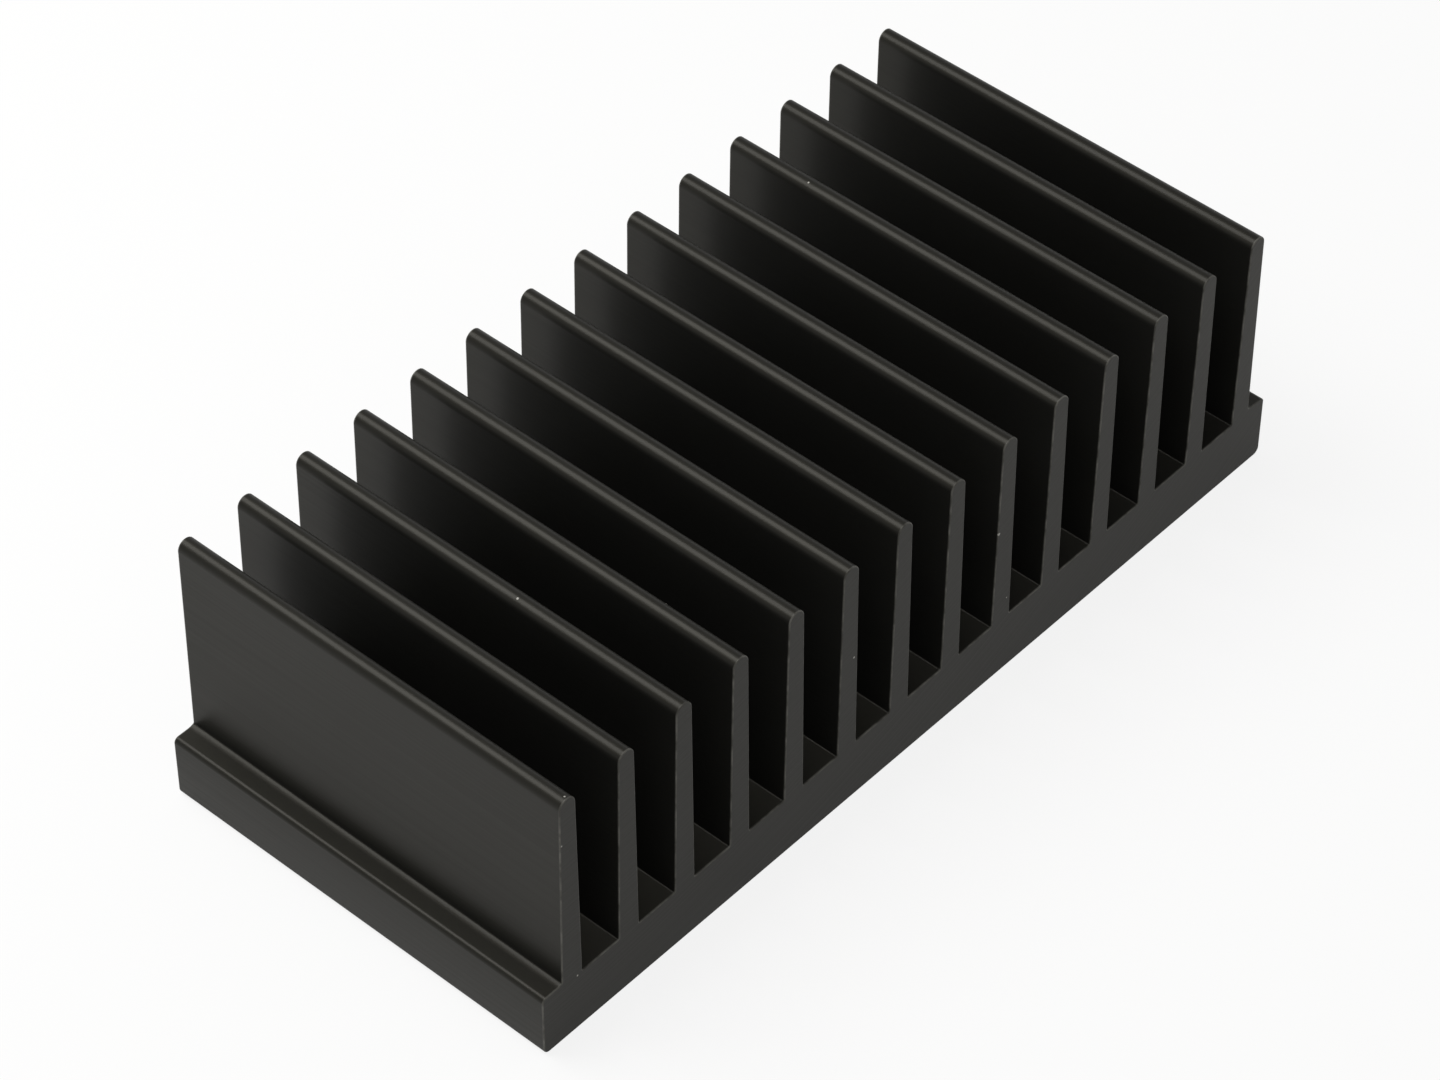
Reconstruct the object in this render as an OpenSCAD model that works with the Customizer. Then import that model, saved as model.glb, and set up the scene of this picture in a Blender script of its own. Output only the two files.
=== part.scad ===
// Extruded heat sink: one straight length cut from a comb-shaped aluminium extrusion.
// A thick base carries a row of tapered fins and ends in a plain flange along each long side.
// The origin is the centre of the flat mounting face. X runs across the fins,
// Y along the extrusion, and Z from the mounting face up to the fin tips.

/* [Overall] */
// Length cut from the extrusion
cut_length = 50; // [10:1:300]
// Height from the mounting face to the fin tips
overall_height = 33; // [20:0.5:80]

/* [Base] */
// Thickness of the base under the channels
base_thickness = 7.65; // [3:0.05:12]
// Thickness of the flanges along the two sides
flange_thickness = 8; // [4:0.05:12]
// Width of each flange, from the root of the outermost fin to the side face
flange_width = 2.71; // [1.5:0.01:20]
// Radius along the top edge of each flange
flange_edge_radius = 0.6; // [0.1:0.05:1.4]
// Radius along the bottom edge of each side face
foot_edge_radius = 0.75; // [0.1:0.05:1.4]

/* [Fins] */
// Number of fins
fin_count = 14; // [2:1:30]
// Distance from the middle of one fin to the middle of the next
fin_pitch = 7.91; // [5:0.01:15]
// Thickness of a fin at its rounded tip
fin_tip_thickness = 2.1; // [1:0.05:2.7]
// Thickness of a fin where it meets the channel floor
fin_root_thickness = 2.75; // [2.15:0.05:4.5]
// Radius of the fillets between the fins and the channel floors
channel_fillet = 0.2; // [0.1:0.05:1.5]
// Radius of the wide cove by which each flange rises to its fin
cove_radius = 1.8; // [1:0.1:2.4]
// Slope of the flange where the cove ends, in degrees
cove_slope = 22; // [5:1:35]
// Radius of the corner between the cove and the fin
cove_fillet = 0.2; // [0.1:0.05:0.5]

/* [Quality] */
// Flat strips that draw a quarter turn of a large rounding
quarter_strips = 10; // [4:1:16]

/* [Hidden] */

anodised_black = [0.14, 0.14, 0.135];

// A rounding smaller than this has fewer strips, so that all roundings are drawn about as truly
large_radius = 0.75;

// Middles of the outermost fins, and the side faces, measured from the middle of the section
row_half = (fin_count - 1) * fin_pitch / 2;
body_half = row_half + fin_root_thickness / 2 + flange_width;

// The tips are fully round. The flanks run straight up from the root until they touch the
// rounding, so each leans in by the draft angle.
tip_radius = fin_tip_thickness / 2;
tip_centre_z = overall_height - tip_radius;
root_half = fin_root_thickness / 2;
tip_rise = tip_centre_z - base_thickness;
draft = acos(tip_radius / norm([root_half, tip_rise])) - atan2(tip_rise, root_half);

// No rounding takes more than the wall that it is on
channel_r = min(channel_fillet, (fin_pitch - fin_root_thickness) / 2 - 0.05);
edge_r = min(flange_edge_radius, flange_width / 2, flange_thickness / 2);
cove_r = min(cove_radius, (flange_width - edge_r - cove_fillet) / sin(cove_slope));
foot_r = min(foot_edge_radius, flange_thickness - edge_r);

// Points along an arc about a centre, between two angles
function arc(centre, r, from, to) =
    let (
        turn = abs(to - from) / 90,
        strips = max(1, round(turn * quarter_strips * min(1, sqrt(r / large_radius))))
    )
    [for (i = [0 : strips])
        let (a = from + (to - from) * i / strips)
        centre + r * [cos(a), sin(a)]];

// Distance from the middle of a fin to its flank at height z
function flank_x(z) = root_half - (z - base_thickness) * tan(draft);

// Distance from the middle of a fin to the centre of a fillet that stands on a floor at height z
function fillet_x(r, z) = flank_x(z) + r * (1 - sin(draft)) / cos(draft);

// The left side of a fin's root: the fillet down to a channel's floor
function channel_root(x) =
    arc([x - fillet_x(channel_r, base_thickness), base_thickness + channel_r], channel_r, -draft, -90);

// The left side of the first fin's root: a small fillet that runs into the cove of the flange
function flange_root(x) =
    let (
        spread = (cove_r - cove_fillet) * [sin(cove_slope), -cos(cove_slope)],
        floor_z = flange_thickness + cove_r + spread[1] - cove_fillet,
        fillet_centre = [x - fillet_x(cove_fillet, floor_z), floor_z + cove_fillet]
    )
    concat(
        arc(fillet_centre, cove_fillet, -draft, cove_slope - 90),
        arc(fillet_centre - spread, cove_r, cove_slope - 90, -90)
    );

// Points turned over to the other side of the section, in the order that keeps them anticlockwise
function flipped(points) =
    [for (i = [len(points) - 1 : -1 : 0]) [-points[i][0], points[i][1]]];

// A fin's outline from right to left. The outermost fins stand beside a flange on one side.
function fin_outline(i) =
    let (x = i * fin_pitch - row_half)
    concat(
        flipped(i == fin_count - 1 ? flange_root(-x) : channel_root(-x)),
        arc([x, tip_centre_z], tip_radius, draft, 180 - draft),
        i == 0 ? flange_root(x) : channel_root(x)
    );

// The section that the die gives, anticlockwise from the bottom right edge
section = concat(
    arc([body_half - foot_r, foot_r], foot_r, -90, 0),
    arc([body_half - edge_r, flange_thickness - edge_r], edge_r, 0, 90),
    [for (i = [fin_count - 1 : -1 : 0]) each fin_outline(i)],
    arc([edge_r - body_half, flange_thickness - edge_r], edge_r, 90, 180),
    arc([foot_r - body_half, foot_r], foot_r, 180, 270)
);

// The extrusion, sawn square at both ends
module heatsink_extrusion() {
    color(anodised_black)
        translate([0, cut_length / 2, 0])
            rotate([90, 0, 0])
                linear_extrude(cut_length)
                    polygon(section);
}

heatsink_extrusion();
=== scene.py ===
import math

import bpy
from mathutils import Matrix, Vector


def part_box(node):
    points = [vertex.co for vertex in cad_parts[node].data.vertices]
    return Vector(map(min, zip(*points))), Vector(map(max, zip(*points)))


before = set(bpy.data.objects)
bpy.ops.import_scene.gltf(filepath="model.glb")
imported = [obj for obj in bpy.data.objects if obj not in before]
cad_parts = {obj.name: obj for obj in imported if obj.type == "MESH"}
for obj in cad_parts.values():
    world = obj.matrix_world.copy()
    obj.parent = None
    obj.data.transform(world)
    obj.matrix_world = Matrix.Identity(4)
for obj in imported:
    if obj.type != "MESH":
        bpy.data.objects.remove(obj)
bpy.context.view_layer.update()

# Extruded heat sink, cut to length: one piece of black anodised aluminium on a white studio floor.
# X runs across the fins, Y along the extrusion, Z from the mounting face up to the fin tips.
MM = 0.001
HEAT_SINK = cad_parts["heatsink_extrusion"]
BOX_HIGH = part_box("heatsink_extrusion")[1]
HALF_LENGTH = BOX_HIGH.y / MM

# Camera: stands in front of the left end and looks down along the row of fins.
CAMERA_AT = Vector((-266.49, -235.42, 367.82)) * MM
CAMERA_TURN = (44.9132, -0.1212, -48.1301)
LENS = 123.87
SENSOR = 36

# Studio. The shares say how much of a plain white replaces the lit paper, by eye and in gloss.
FLOOR_HALF = 3.0
PAPER = "#f4f4f2"
WHITE = "#ffffff"
FLOOR_BY_EYE = 0.85
FLOOR_IN_GLOSS = 0.5
# What the eye and gloss see above the floor: walls, brighter on the +X side, that fade up into the sky.
SKY_STRENGTH = 0.45
LEFT_WALL = 0.65
RIGHT_WALL = 1.1
WALL_REACH = 0.87
WALL_FOOT = 0.05
WALL_TOP = 0.6
SOFTBOX_AT = Vector((-102, 188, 376)) * MM
SOFTBOX_SIDE = 0.26
SOFTBOX_RADIANCE = 5.9

# Cut ends: the sharp edge is broken by this much, wherever it turns by more than the angle.
EDGE_BREAK = 0.1 * MM
EDGE_SEGMENTS = 2
EDGE_FROM = math.radians(60)
# Before that, points this near each other join, and facets this flat become one face.
JOIN_WITHIN = 0.001 * MM
FLAT_WITHIN = math.radians(1)
# Edges that turn by less than this are shaded as a curve.
SMOOTH_BELOW = math.radians(20)

# Finish of the anodised skin. Sizes are in millimetres.
DYE_DEEP = "#131312"
DYE_LIGHT = "#191918"
# Lighter grey beside the cut edges: partly film worn thin, partly a painted highlight for the light the
# edges catch.
WORN_AND_HIGHLIT_GREY = "#5c5b57"
BARE_METAL = "#a8a6a0"
SHEEN_ROUGHNESS = 0.5
ROUGHNESS_SPREAD = 0.04
SHEEN_LEVEL = 0.13
SHEEN_TINT = (1.0, 0.9, 0.58, 1.0)
FILM_WEIGHT = 0.22
FILM_ROUGHNESS = 0.3
FILM_IOR = 1.5
DYE_CLOUD = 12.0
DIE_LINE_SIZE = (0.3, 60.0, 0.3)
BLADE_CENTRE = (-60, 0, 190)
SAW_MARK_PITCH = 0.3
MARK_DEPTH = 0.003
# The roughness goes from its least to its most between these two values of the marks.
MARK_LOW = 0.3
MARK_HIGH = 0.7
# Etching leaves a grain of about 0.04; it is drawn three times coarser so that it can be seen.
ETCH_GRAIN = 0.12
ETCH_DEPTH = 0.001
# A face counts as sawn when it looks this squarely along the extrusion.
SAWN_FROM = 0.93
SAWN_FULL = 0.98
# Width of that lighter grey beside the cut edges, partly wear and partly painted highlight, and the size of
# its patches.
WORN_AND_HIGHLIT_WIDTH = 0.2
WORN_AND_HIGHLIT_PATCH = 1.5
# The lighter edge grey, part wear and part painted highlight, goes from this share to all of it between
# these two values of its patches.
WORN_AND_HIGHLIT_LEAST = 0.3
PATCH_LOW = 0.35
PATCH_HIGH = 0.65
# How many finer layers a noise has on top of its first.
COARSE = 1.0
FINE = 2.0
FINEST = 3.0
# Each nick: its place and its width. It is bare in the middle and fades out at half its width.
NICKS = (((-26.9, -14.85, 32.65), 0.26), ((27.35, 14.77, 32.94), 0.24), ((-35.97, -4.11, 32.93), 0.28),
         ((-51.35, -24.6, 33.0), 0.22), ((10.79, -25.0, 20.68), 0.4), ((-11.18, -25.0, 20.18), 0.28),
         ((-52.34, -25.0, 27.29), 0.22), ((-50.73, -25.0, 7.54), 0.24), ((12.66, -25.0, 10.31), 0.18))


def linear(hex_colour):
    """An sRGB hex colour as linear red, green, blue and alpha."""
    parts = [int(hex_colour[i:i + 2], 16) / 255 for i in (1, 3, 5)]
    return [p / 12.92 if p <= 0.04045 else ((p + 0.055) / 1.055) ** 2.4 for p in parts] + [1.0]


def add_node(tree, kind, sockets=None, **settings):
    """Adds one node. Settings are its own properties; each socket gets a value or another node's output."""
    node = tree.nodes.new(kind)
    for name, value in settings.items():
        setattr(node, name, value)
    for socket, value in (sockets or {}).items():
        if isinstance(value, bpy.types.NodeSocket):
            tree.links.new(value, node.inputs[socket])
        else:
            node.inputs[socket].default_value = value
    return node


def blend(tree, share, first, second):
    """Mixes two colours; Mix has sockets of several kinds under the same names, so they go in by number."""
    return add_node(tree, "ShaderNodeMix", {0: share, 6: first, 7: second}, data_type="RGBA").outputs[2]


def empty_material(name):
    material = bpy.data.materials.new(name)
    material.use_nodes = True
    material.node_tree.nodes.clear()
    return material, material.node_tree


# ---------------------------------------------------------------- the heat sink

def soften_the_cut_edges():
    """Breaks the edges of both cut ends a little, and shades the round tips and fillets smooth."""
    weld = HEAT_SINK.modifiers.new("one skin", "WELD")
    weld.merge_threshold = JOIN_WITHIN
    flats = HEAT_SINK.modifiers.new("whole flats", "DECIMATE")
    flats.decimate_type = "DISSOLVE"
    flats.angle_limit = FLAT_WITHIN
    edges = HEAT_SINK.modifiers.new("broken cut edges", "BEVEL")
    edges.width = EDGE_BREAK
    edges.segments = EDGE_SEGMENTS
    edges.limit_method = "ANGLE"
    edges.angle_limit = EDGE_FROM
    edges.use_clamp_overlap = False
    tree = bpy.data.node_groups.new("smooth rounds", "GeometryNodeTree")
    tree.interface.new_socket("Geometry", in_out="INPUT", socket_type="NodeSocketGeometry")
    tree.interface.new_socket("Geometry", in_out="OUTPUT", socket_type="NodeSocketGeometry")
    start = add_node(tree, "NodeGroupInput")
    angle = add_node(tree, "GeometryNodeInputMeshEdgeAngle")
    sharp = add_node(tree, "FunctionNodeCompare", {0: angle.outputs["Unsigned Angle"], 1: SMOOTH_BELOW},
                     operation="GREATER_THAN")
    normals = add_node(tree, "GeometryNodeSetMeshNormal",
                       {"Mesh": start.outputs[0], "Remove Custom": True,
                        "Edge Sharpness": sharp.outputs[0], "Face Sharpness": False}, mode="SHARPNESS")
    add_node(tree, "NodeGroupOutput", {0: normals.outputs[0]})
    HEAT_SINK.modifiers.new("smooth rounds", "NODES").node_group = tree


def satin_black_anodised_aluminium():
    """Aluminium etched dull, then anodised and dyed black. The etched metal under the dye gives the eye
    a broad and faintly warm sheen, and the clear hard film over it a narrower, neutral one. The die
    leaves faint lines along the extrusion, and the saw leaves faint arcs on the cut ends. Beside the
    broken cut edges a lighter grey is painted into the colour: partly film worn thin there, partly a
    painted highlight for the light those edges catch. A few nicks go through to bare metal."""
    material, tree = empty_material("satin black anodised aluminium")
    place = add_node(tree, "ShaderNodeTexCoord")
    mm = add_node(tree, "ShaderNodeVectorMath", {0: place.outputs["Object"], 3: 1 / MM},
                  operation="SCALE").outputs[0]
    at = add_node(tree, "ShaderNodeSeparateXYZ", {0: mm})
    along = add_node(tree, "ShaderNodeMath", {0: at.outputs["Y"]}, operation="ABSOLUTE").outputs[0]
    facing = add_node(tree, "ShaderNodeSeparateXYZ", {0: place.outputs["Normal"]})
    facing = add_node(tree, "ShaderNodeMath", {0: facing.outputs["Y"]}, operation="ABSOLUTE").outputs[0]
    sawn = add_node(tree, "ShaderNodeMapRange",
                    {"Value": facing, "From Min": SAWN_FROM, "From Max": SAWN_FULL}).outputs[0]

    # Relief, as a height in millimetres.
    stretched = add_node(tree, "ShaderNodeVectorMath", {0: mm, 1: DIE_LINE_SIZE},
                         operation="DIVIDE").outputs[0]
    die_lines = add_node(tree, "ShaderNodeTexNoise", {"Vector": stretched, "Scale": 1.0, "Detail": FINE})
    from_blade = add_node(tree, "ShaderNodeVectorMath", {0: mm, 1: BLADE_CENTRE}, operation="DISTANCE")
    saw_marks = add_node(tree, "ShaderNodeTexNoise",
                         {"W": from_blade.outputs["Value"], "Scale": 1 / SAW_MARK_PITCH, "Detail": COARSE},
                         noise_dimensions="1D")
    marks = add_node(tree, "ShaderNodeMix",
                     {0: sawn, 2: die_lines.outputs["Fac"], 3: saw_marks.outputs["Fac"]}).outputs[0]
    etch = add_node(tree, "ShaderNodeTexNoise", {"Vector": mm, "Scale": 1 / ETCH_GRAIN, "Detail": COARSE})
    etch = add_node(tree, "ShaderNodeMath", {0: etch.outputs["Fac"], 1: ETCH_DEPTH},
                    operation="MULTIPLY").outputs[0]
    height = add_node(tree, "ShaderNodeMath", {0: marks, 1: MARK_DEPTH, 2: etch},
                      operation="MULTIPLY_ADD").outputs[0]
    relief = add_node(tree, "ShaderNodeBump", {"Height": height, "Distance": MM}).outputs[0]
    rough = add_node(tree, "ShaderNodeMapRange",
                     {"Value": marks, "From Min": MARK_LOW, "From Max": MARK_HIGH,
                      "To Min": SHEEN_ROUGHNESS - ROUGHNESS_SPREAD,
                      "To Max": SHEEN_ROUGHNESS + ROUGHNESS_SPREAD}).outputs[0]

    # Colour: the dye takes a little unevenly, a lighter grey beside the cut edges is partly wear and partly
    # painted highlight, the nicks are bare.
    clouds = add_node(tree, "ShaderNodeTexNoise",
                      {"Vector": mm, "Scale": 1 / DYE_CLOUD, "Detail": FINEST}).outputs["Fac"]
    dyed = blend(tree, clouds, linear(DYE_DEEP), linear(DYE_LIGHT))
    # Painted highlight and wear: a lighter grey in patches along the cut edges, kept off the sawn faces
    # themselves.
    rim = add_node(tree, "ShaderNodeMapRange",
                   {"Value": along, "From Min": HALF_LENGTH - WORN_AND_HIGHLIT_WIDTH,
                    "From Max": HALF_LENGTH - EDGE_BREAK / MM}).outputs[0]
    patches = add_node(tree, "ShaderNodeTexNoise",
                       {"Vector": mm, "Scale": 1 / WORN_AND_HIGHLIT_PATCH, "Detail": FINEST})
    patches = add_node(tree, "ShaderNodeMapRange",
                       {"Value": patches.outputs["Fac"], "From Min": PATCH_LOW, "From Max": PATCH_HIGH,
                        "To Min": WORN_AND_HIGHLIT_LEAST}).outputs[0]
    worn_and_highlit = add_node(tree, "ShaderNodeMath", {0: rim, 1: patches}, operation="MULTIPLY").outputs[0]
    not_sawn = add_node(tree, "ShaderNodeMath", {0: 1.0, 1: sawn}, operation="SUBTRACT").outputs[0]
    worn_and_highlit = add_node(tree, "ShaderNodeMath", {0: worn_and_highlit, 1: not_sawn}, operation="MULTIPLY").outputs[0]
    with_wear_and_highlight = blend(tree, worn_and_highlit, dyed, linear(WORN_AND_HIGHLIT_GREY))
    bare = 0.0
    for nick, width in NICKS:
        away = add_node(tree, "ShaderNodeVectorMath", {0: mm, 1: nick}, operation="DISTANCE")
        inside = add_node(tree, "ShaderNodeMapRange",
                          {"Value": away.outputs["Value"], "From Min": width / 2, "From Max": width / 3})
        bare = add_node(tree, "ShaderNodeMath", {0: bare, 1: inside.outputs[0]},
                        operation="MAXIMUM").outputs[0]
    colour = blend(tree, bare, with_wear_and_highlight, linear(BARE_METAL))

    skin = add_node(tree, "ShaderNodeBsdfPrincipled",
                    {"Base Color": colour, "Roughness": rough, "Specular IOR Level": SHEEN_LEVEL,
                     "Specular Tint": SHEEN_TINT, "Normal": relief, "Coat Weight": FILM_WEIGHT,
                     "Coat Roughness": FILM_ROUGHNESS, "Coat IOR": FILM_IOR, "Coat Normal": relief})
    add_node(tree, "ShaderNodeOutputMaterial", {"Surface": skin.outputs[0]})
    return material


# ---------------------------------------------------------------- the studio

def white_where_seen(tree, by_eye, in_gloss):
    """How much of a plain white the eye, and gloss and glass, see in place of what the lamps give."""
    path = add_node(tree, "ShaderNodeLightPath")
    mirrored = add_node(tree, "ShaderNodeMath",
                        {0: path.outputs["Is Glossy Ray"], 1: path.outputs["Is Transmission Ray"]},
                        operation="MAXIMUM")
    mirrored = add_node(tree, "ShaderNodeMath", {0: mirrored.outputs[0], 1: in_gloss}, operation="MULTIPLY")
    seen = add_node(tree, "ShaderNodeMath",
                    {0: path.outputs["Is Camera Ray"], 1: by_eye, 2: mirrored.outputs[0]},
                    operation="MULTIPLY_ADD")
    return seen.outputs[0]


def white_floor():
    mesh = bpy.data.meshes.new("studio_floor")
    h = FLOOR_HALF
    mesh.from_pydata([(-h, -h, 0), (h, -h, 0), (h, h, 0), (-h, h, 0)], [], [(0, 1, 2, 3)])
    floor = bpy.data.objects.new("studio_floor", mesh)
    bpy.context.scene.collection.objects.link(floor)
    material, tree = empty_material("white studio paper")
    paper = add_node(tree, "ShaderNodeBsdfDiffuse", {"Color": linear(PAPER)})
    glow = add_node(tree, "ShaderNodeEmission", {"Color": linear(WHITE), "Strength": 1.0})
    part = white_where_seen(tree, FLOOR_BY_EYE, FLOOR_IN_GLOSS)
    mixed = add_node(tree, "ShaderNodeMixShader", {0: part, 1: paper.outputs[0], 2: glow.outputs[0]})
    add_node(tree, "ShaderNodeOutputMaterial", {"Surface": mixed.outputs[0]})
    mesh.materials.append(material)


def soft_sky():
    world = bpy.data.worlds.new("soft white studio")
    world.use_nodes = True
    tree = world.node_tree
    tree.nodes.clear()
    light = add_node(tree, "ShaderNodeBackground", {"Color": linear(WHITE), "Strength": SKY_STRENGTH})
    way = add_node(tree, "ShaderNodeTexCoord")
    aim = add_node(tree, "ShaderNodeSeparateXYZ", {0: way.outputs["Generated"]})
    side = add_node(tree, "ShaderNodeMapRange",
                    {"Value": aim.outputs["X"], "From Min": -WALL_REACH, "From Max": WALL_REACH,
                     "To Min": LEFT_WALL, "To Max": RIGHT_WALL})
    wall = add_node(tree, "ShaderNodeMapRange",
                    {"Value": aim.outputs["Z"], "From Min": WALL_FOOT, "From Max": WALL_TOP,
                     "To Min": side.outputs[0], "To Max": SKY_STRENGTH})
    seen = add_node(tree, "ShaderNodeBackground", {"Color": linear(WHITE), "Strength": wall.outputs[0]})
    part = white_where_seen(tree, 1.0, 1.0)
    mixed = add_node(tree, "ShaderNodeMixShader", {0: part, 1: light.outputs[0], 2: seen.outputs[0]})
    add_node(tree, "ShaderNodeOutputWorld", {"Surface": mixed.outputs[0]})
    bpy.context.scene.world = world


def softbox():
    light = bpy.data.lights.new("overhead_softbox", "AREA")
    light.shape = "SQUARE"
    light.size = SOFTBOX_SIDE
    light.energy = SOFTBOX_RADIANCE * math.pi * SOFTBOX_SIDE ** 2
    lamp = bpy.data.objects.new("overhead_softbox", light)
    lamp.location = SOFTBOX_AT
    lamp.rotation_euler = lamp.location.to_track_quat("Z", "Y").to_euler()
    lamp.visible_camera = False
    bpy.context.scene.collection.objects.link(lamp)


def camera():
    lens = bpy.data.cameras.new("camera")
    lens.lens = LENS
    lens.sensor_width = SENSOR
    eye = bpy.data.objects.new("camera", lens)
    eye.location = CAMERA_AT
    eye.rotation_euler = [math.radians(a) for a in CAMERA_TURN]
    bpy.context.scene.collection.objects.link(eye)
    bpy.context.scene.camera = eye


soften_the_cut_edges()
HEAT_SINK.material_slots[0].material = satin_black_anodised_aluminium()
white_floor()
soft_sky()
softbox()
camera()
bpy.context.scene.view_settings.view_transform = "Standard"
